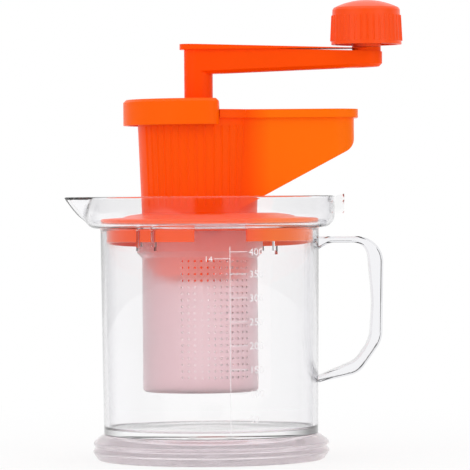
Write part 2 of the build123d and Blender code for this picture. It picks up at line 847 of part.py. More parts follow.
with BuildPart() as crank_arm:
    add(
        arm_layer(
            post_radius,
            arm_end_radius - arm_end_step,
            arm_bottom_at_post,
            arm_top_at_post - arm_flange / 2,
            arm_bottom_at_knob,
            arm_top_at_knob - arm_flange / 2,
        )
    )
    chamfer(crank_arm.faces().sort_by(Axis.Z)[0].edges(), arm_edge)
    add(
        arm_layer(
            arm_flange_radius,
            arm_end_radius,
            arm_top_at_post - arm_flange,
            arm_top_at_post,
            arm_top_at_knob - arm_flange,
            arm_top_at_knob,
        )
    )
    # Post above the cap, and its journal below.
    with BuildSketch(head_level(cap_top + running_clearance)):
        Circle(post_radius)
    extrude(amount=arm_bottom_at_post - cap_top + post_root)
    with BuildSketch(head_level(journal_end)):
        Circle(journal_radius)
    extrude(amount=cap_top - journal_end + root_depth)
    with BuildSketch(head_level(clip_bottom)):
        Circle(journal_radius + cut_margin)
        Circle(groove_radius, mode=Mode.SUBTRACT)
    extrude(amount=clip_thickness, mode=Mode.SUBTRACT)
    with BuildSketch(head_level(journal_end)):
        RegularPolygon(hex_flat / 2, 6, major_radius=False)
    extrude(amount=rod_top - journal_end, mode=Mode.SUBTRACT)
    # Round seat for the knob's hub.
    with BuildSketch(knob_level(arm_top_at_knob - arm_flange / 2)):
        Circle(knob_hub_radius)
    extrude(amount=arm_seat_height - arm_top_at_knob + arm_flange / 2)
    # Lightening pocket under the arm, and the pin's hole with its recess.
    with BuildSketch(head_level(arm_bottom_at_post - cut_margin)):
        with Locations((arm_pocket_start, 0), (crank_radius - arm_pocket_start, 0)):
            Circle(arm_pocket_radius)
        make_hull()
    extrude(amount=arm_pocket_depth + cut_margin, mode=Mode.SUBTRACT)
    with BuildSketch(knob_level(arm_bottom_at_post)):
        Circle(pin_radius)
    extrude(amount=arm_depth_at_post, mode=Mode.SUBTRACT)
    with BuildSketch(knob_level(arm_bottom_at_post)):
        Circle(pin_head_radius + running_clearance)
    extrude(amount=pin_head_top - arm_bottom_at_post, mode=Mode.SUBTRACT)
crank_arm.part.label = "crank_arm"
export_step(crank_arm.part, "parts/crank_arm.step")


# Knob: a hollow cap with a low dome, ribs round its side and a bored hub.
with BuildPart() as crank_knob:
    dome_radius = (knob_side_radius**2 + knob_dome**2) / (2 * knob_dome)
    dome_angle = math.degrees(math.asin(knob_side_radius / dome_radius))
    with BuildSketch(knob_section) as knob_profile:
        with BuildLine():
            Line((0, knob_bottom), (knob_base_radius, knob_bottom))
            Line((knob_base_radius, knob_bottom), (knob_side_radius, knob_side_top))
            CenterArc((0, knob_top - dome_radius), dome_radius, 90 - dome_angle, dome_angle)
            Line((0, knob_top), (0, knob_bottom))
        make_face()
        shoulder = knob_profile.vertices().sort_by_distance((knob_side_radius, knob_side_top))[0]
        chamfer(shoulder, knob_bevel)
    revolve(axis=knob_axis)
    with BuildSketch(knob_section):
        with BuildLine():
            Polyline(
                (0, knob_bottom - cut_margin),
                (knob_base_radius - knob_wall, knob_bottom - cut_margin),
                (knob_side_radius - knob_wall, knob_side_top - knob_wall),
                (0, knob_side_top),
                close=True,
            )
        make_face()
    revolve(axis=knob_axis, mode=Mode.SUBTRACT)
    with BuildSketch(knob_level(hub_end_height)):
        Circle(knob_hub_radius)
    extrude(amount=knob_side_top - hub_end_height)
    # Ribs, following the side's draft.
    with BuildPart(mode=Mode.PRIVATE) as knob_rib:
        for height, radius in (
            (knob_bottom + knob_rib_margin, knob_base_radius),
            (knob_side_top - 2 * knob_rib_margin, knob_side_radius + knob_rib_slack),
        ):
            with BuildSketch(knob_level(height)):
                with BuildLine():
                    Polyline(
                        (radius - knob_rib_proud, -knob_rib_width / 2),
                        (radius + knob_rib_proud, 0),
                        (radius - knob_rib_proud, knob_rib_width / 2),
                        close=True,
                    )
                make_face()
        loft(ruled=True)
    knob_turns = [index * 360 / knob_rib_count for index in range(knob_rib_count)]
    add([knob_rib.part.rotate(knob_axis, turn) for turn in knob_turns])
    # Blind bore with a groove for the pin's bead.
    with BuildSketch(knob_level(hub_end_height)):
        Circle(pin_radius + running_clearance)
    extrude(amount=pin_top + moulded_gap - hub_end_height, mode=Mode.SUBTRACT)
    with BuildSketch(knob_level(pin_bead_height - pin_bead - running_clearance)):
        Circle(pin_radius + pin_bead + running_clearance)
    extrude(amount=2 * (pin_bead + running_clearance), mode=Mode.SUBTRACT)
crank_knob.part.label = "crank_knob"
export_step(crank_knob.part, "parts/crank_knob.step")


# Knob pin: a headed pin pressed up through the arm's end, with a bead that holds the knob.
with BuildPart() as knob_pin:
    with BuildSketch(knob_section) as pin_section:
        with BuildLine():
            Polyline(
                (0, pin_head_top - pin_head_height),
                (pin_head_radius, pin_head_top - pin_head_height),
                (pin_head_radius, pin_head_top),
                (pin_radius, pin_head_top),
                (pin_radius, pin_bead_height - pin_bead),
                (pin_radius + pin_bead, pin_bead_height),
                (pin_radius, pin_bead_height + pin_bead),
                (pin_radius, pin_top - pin_tip),
                (pin_radius - pin_tip, pin_top),
                (0, pin_top),
                close=True,
            )
        make_face()
    revolve(axis=knob_axis)
knob_pin.part.label = "knob_pin"
export_step(knob_pin.part, "parts/knob_pin.step")


# Drive shaft: a hexagonal rod with a round journal at its lower end.
with BuildPart() as drive_shaft:
    with BuildSketch(head_level(rod_bottom)):
        Circle(rod_tip_radius)
    extrude(amount=rod_tip_top - rod_bottom)
    with BuildSketch(head_level(rod_tip_top)):
        RegularPolygon(hex_flat / 2, 6, major_radius=False)
    extrude(amount=rod_top - rod_tip_top)
drive_shaft.part.label = "drive_shaft"
export_step(drive_shaft.part, "parts/drive_shaft.step")


# Post clip: an open ring sprung into the journal's groove.
with BuildPart() as post_clip:
    with BuildSketch(head_level(clip_bottom)):
        Circle(clip_radius)
        Circle(groove_radius, mode=Mode.SUBTRACT)
        with Locations((0, clip_radius)):
            Rectangle(clip_opening, 2 * clip_radius, mode=Mode.SUBTRACT)
    extrude(amount=clip_thickness)
post_clip.part.label = "post_clip"
export_step(post_clip.part, "parts/post_clip.step")


# Thrust washer between the auger's hub and the clip.
with BuildPart() as thrust_washer:
    with BuildSketch(head_level(hub_top)):
        Circle(washer_radius)
        Circle(journal_radius + running_clearance, mode=Mode.SUBTRACT)
    extrude(amount=washer_thickness)
thrust_washer.part.label = "thrust_washer"
export_step(thrust_washer.part, "parts/thrust_washer.step")


# Auger: a tapered hub with one helical flight, bored for the rod.
with BuildPart() as auger:
    flight_bottom = cone_top + flight_start
    flight_top = hub_top - flight_stop
    with BuildSketch(head_section):
        with BuildLine():
            Polyline(
                (0, cone_top),
                (hub_bottom_radius, cone_top),
                (hub_top_radius, hub_top),
                (0, hub_top),
                close=True,
            )
        make_face()
    revolve(axis=head_axis)
    with BuildLine(head_level(flight_bottom)) as flight_path:
        Helix(flight_pitch, flight_top - flight_bottom, hub_top_radius)
    with BuildSketch(head_section) as flight_section:
        with Locations((hub_top_radius - flight_root, flight_bottom)):
            Rectangle(
                flight_radius - hub_top_radius + flight_root,
                flight_thickness,
                align=(Align.MIN, Align.CENTER),
            )
    sweep(sections=flight_section.sketch, path=flight_path.line, is_frenet=True)
    with BuildSketch(head_level(hub_top - hub_socket_depth)):
        Circle(journal_radius + running_clearance)
    extrude(amount=hub_socket_depth, mode=Mode.SUBTRACT)
    with BuildSketch(head_level(cone_top)):
        RegularPolygon(hex_flat / 2 + running_clearance, 6, major_radius=False)
    extrude(amount=hub_top - cone_top, mode=Mode.SUBTRACT)
auger.part.label = "auger"
export_step(auger.part, "parts/auger.step")


# Grinding cone: twisted teeth that narrow downwards, bored for the rod.
with BuildPart() as grinding_cone:
    cone_low = toothed_outline(cone_bottom, cone_bottom_radius, cone_tooth_depth, cone_teeth, 0)
    cone_high = toothed_outline(
        cone_top, cone_top_radius, cone_tooth_depth, cone_teeth, cone_twist
    )
    loft(sections=[cone_low, cone_high], ruled=True)
    with BuildSketch(head_level(cone_bottom)):
        RegularPolygon(hex_flat / 2 + running_clearance, 6, major_radius=False)
    extrude(amount=cone_height, mode=Mode.SUBTRACT)
grinding_cone.part.label = "grinding_cone"
export_step(grinding_cone.part, "parts/grinding_cone.step")


# Grinding ring: a seat ring whose tapered bore carries the teeth that the cone works against.
with BuildPart() as grinding_ring:
    with BuildSketch(head_level(ring_bottom)):
        Circle(bowl_bore_radius - running_clearance)
    extrude(amount=ring_height)
    ring_low = toothed_outline(
        ring_bottom, ring_bottom_bore + ring_tooth_depth, ring_tooth_depth, ring_teeth, 0
    )
    ring_high = toothed_outline(
        barrel_floor_height,
        ring_top_bore + ring_tooth_depth,
        ring_tooth_depth,
        ring_teeth,
        0,
    )
    loft(sections=[ring_low, ring_high], ruled=True, mode=Mode.SUBTRACT)
grinding_ring.part.label = "grinding_ring"
export_step(grinding_ring.part, "parts/grinding_ring.step")


# Shaft bush: a flanged bush in the boss in the bowl's floor.
with BuildPart() as shaft_bush:
    with BuildSketch(head_level(bowl_bottom)):
        Circle(bush_radius)
    extrude(amount=bush_boss_height)
    with BuildSketch(head_level(bush_top)):
        Circle(bush_flange_radius)
    extrude(amount=bush_flange)
    with BuildSketch(head_level(bowl_bottom)):
        Circle(rod_tip_radius + running_clearance)
    extrude(amount=bush_boss_height + bush_flange, mode=Mode.SUBTRACT)
shaft_bush.part.label = "shaft_bush"
export_step(shaft_bush.part, "parts/shaft_bush.step")


# Strainer: a deep cup with perforated panels and a bayonet collar that hangs on the lugs.
with BuildPart() as filter_cup:
    collar_shoulder = collar_bottom - (collar_radius - strainer_radius)
    strainer_floor_height = strainer_bottom + strainer_wall
    with BuildSketch(head_section) as strainer_section:
        with BuildLine():
            Polyline(
                (0, strainer_bottom),
                (strainer_radius, strainer_bottom),
                (strainer_radius, collar_shoulder),
                (collar_radius, collar_bottom),
                (collar_radius, collar_top),
                (neck_radius + moulded_gap, collar_top),
                (neck_radius + moulded_gap, collar_flange_bottom),
                (collar_inner_radius, collar_flange_bottom),
                (collar_inner_radius, collar_bottom),
                (strainer_inner_radius, collar_shoulder),
                (strainer_inner_radius, strainer_floor_height),
                (0, strainer_floor_height),
                close=True,
            )
        make_face()
        base_corner = strainer_section.vertices().group_by(Axis.Y)[0].sort_by(Axis.X)[-1]
        chamfer(base_corner, strainer_corner)
        floor_corner = strainer_section.vertices().group_by(Axis.Y)[2].sort_by(Axis.X)[-1]
        chamfer(floor_corner, strainer_corner / 2)
    revolve(axis=head_axis)
    # Gaps in the collar's flange, which come over the lugs after the twist.
    for lug_angle in lug_angles:
        with BuildSketch(head_level(collar_flange_bottom)):
            with PolarLocations(neck_radius, 1, start_angle=lug_angle - bayonet_twist):
                Rectangle(
                    bayonet_lug_reach - neck_radius + moulded_gap,
                    bayonet_gap_width,
                    align=(Align.MIN, Align.CENTER),
                )
        extrude(amount=collar_flange, mode=Mode.SUBTRACT)
    # Grip lugs outside the collar.
    for grip_angle in grip_angles:
        with BuildSketch(head_level(collar_bottom)):
            with PolarLocations(collar_radius - root_depth, 1, start_angle=grip_angle):
                Rectangle(grip_reach + root_depth, grip_width, align=(Align.MIN, Align.CENTER))
        extrude(amount=grip_height)
    # Perforated panels, from near the floor up to the collar's shoulder.
    lowest_row = strainer_bottom + hole_margin
    highest_row = collar_shoulder - hole_size
    row_pitch = (highest_row - lowest_row) / (hole_rows - 1)
    hole_places = []
    for panel_angle in panel_angles:
        for column in range(hole_columns):
            angle = panel_angle + (column - (hole_columns - 1) / 2) * hole_column_pitch
            for row in range(hole_rows):
                middle = Location((barrel_offset, 0, lowest_row + row * row_pitch), (0, 0, angle))
                hole_places.append(middle * Location((strainer_radius - strainer_wall / 2, 0, 0)))
    with Locations(hole_places):
        Box(2 * strainer_wall, hole_size, hole_size, mode=Mode.SUBTRACT)
filter_cup.part.label = "filter_cup"
export_step(filter_cup.part, "parts/filter_cup.step")
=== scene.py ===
import math

import bmesh
import bpy
from mathutils import Matrix, Vector


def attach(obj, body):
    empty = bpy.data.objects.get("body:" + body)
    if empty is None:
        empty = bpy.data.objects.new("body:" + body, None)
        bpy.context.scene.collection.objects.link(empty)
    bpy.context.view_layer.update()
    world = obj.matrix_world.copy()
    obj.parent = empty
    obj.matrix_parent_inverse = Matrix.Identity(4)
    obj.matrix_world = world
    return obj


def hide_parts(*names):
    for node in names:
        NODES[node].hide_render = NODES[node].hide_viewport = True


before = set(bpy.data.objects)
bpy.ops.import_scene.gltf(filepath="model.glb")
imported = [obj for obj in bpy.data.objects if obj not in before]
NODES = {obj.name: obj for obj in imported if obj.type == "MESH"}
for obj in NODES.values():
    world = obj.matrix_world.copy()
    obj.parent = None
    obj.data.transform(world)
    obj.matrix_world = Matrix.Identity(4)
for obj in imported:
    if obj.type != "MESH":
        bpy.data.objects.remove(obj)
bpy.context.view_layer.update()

# A hand cranked juicer on a clear measuring cup. The sizes of pieces are written in millimetres
# and turned into metres by MM. The cup stands on the origin, and the head's axis is nearer the lip.
MM = 0.001
HEAD_X = -3.95


def add_object(name, data):
    made = bpy.data.objects.new(name, data)
    bpy.context.scene.collection.objects.link(made)
    return made


# Camera: at the tray's height, straight in front, with the small roll of the photograph
CAMERA_DISTANCE = 1380.0
CAMERA_HEIGHT = 103.0
AIM = (10.0, 0.0, 88.3)
VIEW_WIDTH = 185.7
SENSOR_WIDTH = 36.0
ROLL = math.radians(-0.45)
CLIP_END_M = 60.0


def set_camera():
    data = bpy.data.cameras.new("camera")
    data.sensor_width = SENSOR_WIDTH
    data.lens = SENSOR_WIDTH * CAMERA_DISTANCE / VIEW_WIDTH
    data.clip_end = CLIP_END_M
    camera = add_object("camera", data)
    place = Vector((AIM[0], -CAMERA_DISTANCE, CAMERA_HEIGHT))
    look = Vector(AIM) - place
    turn = look.to_track_quat("-Z", "Y").to_matrix().to_4x4() @ Matrix.Rotation(ROLL, 4, "Z")
    camera.matrix_world = Matrix.Translation(place * MM) @ turn
    bpy.context.scene.camera = camera


# Node helpers
def empty_tree(owner):
    owner.use_nodes = True
    tree = owner.node_tree
    tree.nodes.clear()
    return tree


def new_material(name):
    material = bpy.data.materials.new(name)
    return material, empty_tree(material)


def add_node(tree, kind, settings=None, **inputs):
    """A node with its settings and its inputs, each a value or the socket that feeds it.

    An input goes by its socket's name, with _ for a space, or by _ and the socket's number.
    """
    node = tree.nodes.new(kind)
    for name, value in (settings or {}).items():
        setattr(node, name, value)
    for name, value in inputs.items():
        socket = node.inputs[int(name[1:]) if name[0] == "_" else name.replace("_", " ")]
        if isinstance(value, bpy.types.NodeSocket):
            tree.links.new(value, socket)
        else:
            socket.default_value = value
    return node


def object_place(tree):
    return add_node(tree, "ShaderNodeTexCoord").outputs["Object"]


def ramp(tree, factor, stops):
    """A colour ramp's colour output. A stop is (place, grey) or (place, (red, green, blue))."""
    node = add_node(tree, "ShaderNodeValToRGB", Fac=factor)
    elements = node.color_ramp.elements
    while len(elements) < len(stops):
        elements.new(0.5)
    for element, (place, shade) in zip(elements, stops):
        element.position = place
        element.color = (*shade, 1) if isinstance(shade, tuple) else (shade, shade, shade, 1)
    return node.outputs["Color"]


def colour_between(tree, factor, first, second):
    return ramp(tree, factor, ((0.0, first), (1.0, second)))


def maths(tree, operation, a, b):
    return add_node(tree, "ShaderNodeMath", {"operation": operation}, _0=a, _1=b).outputs[0]


def rescaled(tree, value, old, new):
    """A value whose old span becomes the new one, cut off at both ends."""
    low, high = old
    first, last = new
    node = add_node(
        tree, "ShaderNodeMapRange", Value=value, _1=low, _2=high, _3=first, _4=last
    )
    return node.outputs[0]


def mixed_colour(tree, factor, first, second):
    node = add_node(
        tree, "ShaderNodeMix", {"data_type": "RGBA"}, _0=factor, _6=first, _7=second
    )
    return node.outputs[2]


def mixed_shader(tree, factor, first, second):
    return add_node(tree, "ShaderNodeMixShader", _0=factor, _1=first, _2=second).outputs[0]


def object_noise(tree, scale, detail, stretch=(1, 1, 1), roughness=0.5):
    """Noise on Object coordinates, with scale in repeats a metre."""
    place = object_place(tree)
    if stretch != (1, 1, 1):
        place = add_node(tree, "ShaderNodeMapping", Vector=place, Scale=stretch).outputs[0]
    noise = add_node(
        tree, "ShaderNodeTexNoise", Vector=place, Scale=scale, Detail=detail, Roughness=roughness
    )
    return noise.outputs["Fac"]


def bump(tree, height, depth):
    """A bump whose depth is in millimetres."""
    node = add_node(tree, "ShaderNodeBump", Height=height, Strength=1.0, Distance=depth * MM)
    return node.outputs[0]


def finish_material(tree, shader):
    output = add_node(tree, "ShaderNodeOutputMaterial")
    tree.links.new(shader, output.inputs["Surface"])


def principled(tree, **inputs):
    return add_node(tree, "ShaderNodeBsdfPrincipled", **inputs).outputs[0]


def lamps_pass(tree, shader, tint):
    """Clear plastic as it is to the eye, and a plain tint to light on its way through it."""
    path = add_node(tree, "ShaderNodeLightPath").outputs
    through = add_node(tree, "ShaderNodeBsdfTransparent", Color=(*tint, 1)).outputs[0]
    for ray in ("Is Diffuse Ray", "Is Shadow Ray"):
        shader = mixed_shader(tree, path[ray], shader, through)
    return shader


# Materials
NOISE_SPAN = (0.3, 0.7)
# The span along X over which the painted light on the hopper fades in
HOPPER_LIGHT_SPAN_M = (0.015, 0.024)
HARD_PLASTIC_IOR = 1.49
VINYL_IOR = 1.5
NYLON_IOR = 1.53
INK_IOR = 1.5


def orange_polypropylene(name, deep, pale, hopper_light=None, shine=0.08):
    """Moulded orange with a fine mould grain, and painted light: a lighter orange past the barrel,
    over the hopper.
    """
    material, tree = new_material(name)
    clouds = object_noise(tree, scale=28, detail=1)
    colour = colour_between(tree, clouds, deep, pale)
    # Painted light: past the barrel, over the hopper, the orange is mixed towards a lighter colour.
    if hopper_light is not None:
        parts = add_node(tree, "ShaderNodeSeparateXYZ", Vector=object_place(tree)).outputs
        hopper_light_share = rescaled(tree, parts["X"], old=HOPPER_LIGHT_SPAN_M, new=(0.0, 1.0))
        colour = mixed_colour(tree, hopper_light_share, colour, (*hopper_light, 1))
    polish = object_noise(tree, scale=260, detail=3)
    shader = principled(
        tree,
        Base_Color=colour,
        Roughness=rescaled(tree, polish, old=NOISE_SPAN, new=(0.28, 0.36)),
        IOR=HARD_PLASTIC_IOR,
        Specular_IOR_Level=shine,
        Normal=bump(tree, object_noise(tree, scale=1500, detail=2), depth=0.008),
    )
    finish_material(tree, shader)
    return material


def clear_plastic(name, face, slant_shade, edge):
    """Clear moulded plastic: slow waves from the mould, and painted shade that greys its colour
    towards its edges, where it turns away.
    """
    material, tree = new_material(name)
    # Painted shade: the colour darkens as the surface turns away, standing in for the dark edges
    # that refraction shows.
    edge_shade_factor = add_node(tree, "ShaderNodeLayerWeight", Blend=0.5).outputs["Facing"]
    tint = ramp(tree, edge_shade_factor, ((0.0, face), (0.55, slant_shade), (1.0, edge)))
    smears = object_noise(tree, scale=130, detail=3, stretch=(1, 1, 0.4))
    waves = object_noise(tree, scale=38, detail=1, stretch=(1, 1, 0.6))
    shader = principled(
        tree,
        Base_Color=tint,
        Roughness=rescaled(tree, smears, old=(0.35, 0.75), new=(0.0, 0.03)),
        IOR=HARD_PLASTIC_IOR,
        Normal=bump(tree, waves, depth=0.03),
        Transmission_Weight=1.0,
    )
    finish_material(tree, lamps_pass(tree, shader, tint=(0.975, 0.975, 0.98)))
    return material


def soft_vinyl(name):
    """Soft clear vinyl, faintly pink, with a slightly dull skin."""
    material, tree = new_material(name)
    clouds = object_noise(tree, scale=60, detail=3)
    dullness = object_noise(tree, scale=180, detail=4)
    shader = principled(
        tree,
        Base_Color=colour_between(tree, clouds, (0.97, 0.91, 0.94), (0.99, 0.94, 0.965)),
        Roughness=rescaled(tree, dullness, old=NOISE_SPAN, new=(0.08, 0.2)),
        IOR=VINYL_IOR,
        Normal=bump(tree, object_noise(tree, scale=240, detail=2), depth=0.02),
        Transmission_Weight=0.8,
    )
    finish_material(tree, lamps_pass(tree, shader, tint=(0.98, 0.95, 0.96)))
    return material


def frosted_polypropylene(name):
    """Frosted translucent strainer wall, faintly pink and milky."""
    material, tree = new_material(name)
    clouds = object_noise(tree, scale=80, detail=3)
    shader = principled(
        tree,
        Base_Color=colour_between(tree, clouds, (0.985, 0.785, 0.815), (0.998, 0.83, 0.855)),
        Roughness=0.34,
        IOR=HARD_PLASTIC_IOR,
        Normal=bump(tree, object_noise(tree, scale=2200, detail=3), depth=0.02),
        Transmission_Weight=0.86,
    )
    finish_material(tree, lamps_pass(tree, shader, tint=(0.975, 0.94, 0.95)))
    return material


def satin_nylon(name):
    """Opaque white nylon with a fine grain."""
    material, tree = new_material(name)
    clouds = object_noise(tree, scale=90, detail=3)
    polish = object_noise(tree, scale=300, detail=3)
    shader = principled(
        tree,
        Base_Color=colour_between(tree, clouds, (0.80, 0.78, 0.72), (0.88, 0.87, 0.82)),
        Roughness=rescaled(tree, polish, old=NOISE_SPAN, new=(0.4, 0.55)),
        IOR=NYLON_IOR,
        Normal=bump(tree, object_noise(tree, scale=1800, detail=3), depth=0.012),
        Subsurface_Weight=0.2,
        Subsurface_Radius=(1.0, 0.9, 0.75),
        Subsurface_Scale=0.0012,
    )
    finish_material(tree, shader)
    return material


def drawn_steel(name):
    """Bright drawn bar: fine lines along Z with a few deeper scores."""
    material, tree = new_material(name)
    lines = object_noise(tree, scale=5200, detail=4, stretch=(1, 1, 0.015), roughness=0.7)
    scores = object_noise(tree, scale=1400, detail=2, stretch=(1, 1, 0.02))
    shader = principled(
        tree,
        Base_Color=colour_between(tree, scores, (0.56, 0.56, 0.57), (0.74, 0.74, 0.75)),
        Metallic=1.0,
        Roughness=rescaled(tree, lines, old=NOISE_SPAN, new=(0.18, 0.34)),
        Normal=bump(tree, lines, depth=0.006),
        Anisotropic=0.5,
    )
    finish_material(tree, shader)
    return material


def white_ink(name):
    """Screen-printed white ink, a little uneven."""
    material, tree = new_material(name)
    cover = object_noise(tree, scale=1500, detail=3)
    shader = principled(
        tree,
        Base_Color=colour_between(tree, cover, (0.88, 0.87, 0.89), (0.97, 0.96, 0.97)),
        Roughness=rescaled(tree, cover, old=NOISE_SPAN, new=(0.4, 0.6)),
        IOR=INK_IOR,
        Normal=bump(tree, object_noise(tree, scale=2600, detail=2), depth=0.01),
    )
    finish_material(tree, shader)
    return material


# New pieces
WELD_DISTANCE = 0.0005
SHARP_ANGLE = math.radians(35.0)
ARC_STEPS = 5


def piece_from(bm, name, material, body):
    """Turns a bmesh whose units are millimetres into a finished piece on its body."""
    bmesh.ops.remove_doubles(bm, verts=bm.verts, dist=WELD_DISTANCE)
    bmesh.ops.recalc_face_normals(bm, faces=bm.faces)
    bm.transform(Matrix.Scale(MM, 4))
    mesh = bpy.data.meshes.new(name)
    for face in bm.faces:
        face.smooth = True
    for edge in bm.edges:
        if len(edge.link_faces) == 2 and edge.calc_face_angle() > SHARP_ANGLE:
            edge.smooth = False
    bm.to_mesh(mesh)
    bm.free()
    mesh.materials.append(material)
    piece = add_object(name, mesh)
    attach(piece, body)
    return piece


def corner_arc(before, corner, after, radius):
    """Points of an arc that rounds a corner of a profile."""
    corner, before, after = Vector(corner), Vector(before), Vector(after)
    inward, outward = (before - corner).normalized(), (after - corner).normalized()
    half = inward.angle(outward) / 2
    reach = radius / math.tan(half)
    centre = corner + (inward + outward).normalized() * radius / math.sin(half)
    start, end = corner + inward * reach - centre, corner + outward * reach - centre
    sweep = start.angle_signed(end)
    return [
        centre + Matrix.Rotation(-sweep * i / ARC_STEPS, 2) @ start for i in range(ARC_STEPS + 1)
    ]


def rounded_profile(corners):
    """A profile's points. A corner is (radius, height) or (radius, height, rounding)."""
    points = []
    for i, corner in enumerate(corners):
        if len(corner) == 2:
            points.append(Vector(corner))
        else:
            before, after = corners[i - 1][:2], corners[(i + 1) % len(corners)][:2]
            points += corner_arc(before, corner[:2], after, corner[2])
    return points


def spun(points, steps, centre_x=0.0):
    """A bmesh made by turning a profile, which starts and ends on an upright axis, about it."""
    bm = bmesh.new()
    verts = [bm.verts.new((centre_x + p[0], 0, p[1])) for p in points]
    edges = [bm.edges.new(pair) for pair in zip(verts, verts[1:])]
    bmesh.ops.spin(
        bm,
        geom=verts + edges,
        cent=(centre_x, 0, 0),
        axis=(0, 0, 1),
        angle=2 * math.pi,
        steps=steps,
        use_merge=True,
    )
    bmesh.ops.remove_doubles(bm, verts=bm.verts, dist=WELD_DISTANCE)
    return bm


def angle_from(a, b):
    """The turn in degrees from b to a, between -180 and 180."""
    return (a - b + 180) % 360 - 180


def angle_apart(a, b):
    return abs(angle_from(a, b))


# Strainer
STRAINER_RADIUS = 22.8
STRAINER_BORE = 21.3
STRAINER_BOTTOM = 27.1
STRAINER_FLOOR = 28.6
BOTTOM_ROUNDING = 1.6
SHOULDER = 80.9
SHOULDER_ROUNDING = 0.8
COLLAR_RADIUS = 24.9
COLLAR_BORE = 23.3
COLLAR_BOTTOM = 83.0
COLLAR_ROUNDING = 0.5
COLLAR_BAND = 90.0
COLLAR_TOP = 91.4
COLLAR_TOP_ROUNDING = 0.4
FLANGE_BOTTOM = 89.8
FLANGE_BORE = 20.8
STRAINER_STEPS = 225
COLUMN_STEPS = 4
HOLE_STEPS = 2
HOLE_COLUMNS = 12
HOLE_ROWS = 19
HOLE_HALF = 0.56
ROW_PITCH = 2.55
LOWEST_ROW = 33.3
PANEL_ANGLES = (-71.4, 108.6)
STRAINER_WALL_SLACK = 0.1


def turn_about_head(point):
    """A point's radius and its angle in degrees about the head's axis."""
    x, y = point[0] - HEAD_X, point[1]
    return math.hypot(x, y), math.degrees(math.atan2(y, x))


def make_strainer(material):
    rows = [LOWEST_ROW + i * ROW_PITCH for i in range(HOLE_ROWS)]
    levels = [row + side * HOLE_HALF for row in rows for side in (-1, 0, 1)]
    outline = [(0, STRAINER_BOTTOM), (STRAINER_RADIUS, STRAINER_BOTTOM, BOTTOM_ROUNDING)]
    outline += [(STRAINER_RADIUS, level) for level in levels]
    outline += [
        (STRAINER_RADIUS, SHOULDER, SHOULDER_ROUNDING),
        (COLLAR_RADIUS, COLLAR_BOTTOM, COLLAR_ROUNDING),
        (COLLAR_RADIUS, COLLAR_BAND),
        (COLLAR_RADIUS, COLLAR_TOP, COLLAR_TOP_ROUNDING),
        (COLLAR_BORE, COLLAR_TOP),
        (FLANGE_BORE, COLLAR_TOP),
        (FLANGE_BORE, FLANGE_BOTTOM),
        (COLLAR_BORE, FLANGE_BOTTOM),
        (COLLAR_BORE, COLLAR_BOTTOM, COLLAR_ROUNDING),
        (STRAINER_BORE, SHOULDER, SHOULDER_ROUNDING),
    ]
    outline += [(STRAINER_BORE, level) for level in reversed(levels)]
    outline += [(STRAINER_BORE, STRAINER_FLOOR, SHOULDER_ROUNDING), (0, STRAINER_FLOOR)]
    bm = spun(rounded_profile(outline), STRAINER_STEPS, HEAD_X)
    punch_holes(bm, rows)
    return piece_from(bm, "strainer", material, "strainer")


def hole_angles():
    """The angle of each column of holes, on the nearest step of the wall."""
    step = 360 / STRAINER_STEPS
    angles = []
    for panel in PANEL_ANGLES:
        for i in range(HOLE_COLUMNS):
            angle = panel + (i - (HOLE_COLUMNS - 1) / 2) * COLUMN_STEPS * step
            angles.append(round(angle / step) * step)
    return angles


def punch_holes(bm, rows):
    """Opens the perforated panels: both walls' faces go, and each hole's edges are bridged."""
    half_turn = HOLE_STEPS * 360 / STRAINER_STEPS / 2
    columns = hole_angles()
    cells = {}
    for face in bm.faces:
        middle = face.calc_center_median()
        radius, angle = turn_about_head(middle)
        off_walls = min(abs(radius - STRAINER_RADIUS), abs(radius - STRAINER_BORE))
        if off_walls > STRAINER_WALL_SLACK:
            continue
        row = round((middle.z - rows[0]) / ROW_PITCH)
        if not 0 <= row < HOLE_ROWS or abs(middle.z - rows[row]) > HOLE_HALF:
            continue
        for column in columns:
            if angle_apart(angle, column) < half_turn:
                cells.setdefault((column, row), []).append(face)
    rims = []
    for (column, row), faces in cells.items():
        edges = {edge for face in faces for edge in face.edges}
        rim = [edge for edge in edges if sum(face in faces for face in edge.link_faces) == 1]
        round_hole(rim, column, rows[row])
        rims.append(rim)
    bmesh.ops.delete(bm, geom=[f for faces in cells.values() for f in faces], context="FACES")
    for rim in rims:
        bmesh.ops.bridge_loops(bm, edges=rim)


def round_hole(rim, column, height):
    """Draws a rim's corners in, so that the hole is round."""
    for vert in {vert for edge in rim for vert in edge.verts}:
        radius, angle = turn_about_head(vert.co)
        across = math.radians(angle_from(angle, column)) * radius
        up = vert.co.z - height
        shrink = HOLE_HALF / math.hypot(across, up)
        turn = math.radians(column) + across * shrink / radius
        vert.co = (HEAD_X + radius * math.cos(turn), radius * math.sin(turn), height + up * shrink)


# Measuring cup
CUP_STEPS = 240
CUP_BASE_RADIUS = 42.3
CUP_BASE_HEIGHT = 10.1
CUP_WALL_HEIGHT = 81.1
CUP_FLARE = 0.85
CUP_SLOPE = CUP_FLARE / CUP_WALL_HEIGHT
MOUTH_RADIUS = 41.25
FLOOR_RADIUS = 40.4
CUP_FLOOR = 12.6
TRAY_BOTTOM = 91.2
TRAY_PLATE_TOP = 92.8
TRAY_RADIUS = 49.4
TRAY_INNER_RADIUS = 47.8
RIM = 103.7
RIM_ROUNDING = 0.6
CUP_EDGE_ROUNDING = 0.5
TRAY_ROOT_ROUNDING = 0.8
TRAY_CORNER_ROUNDING = 4.7
TRAY_INNER_ROUNDING = 3.0
MOUTH_ROUNDING = 0.4
FLOOR_ROUNDING = 1.0
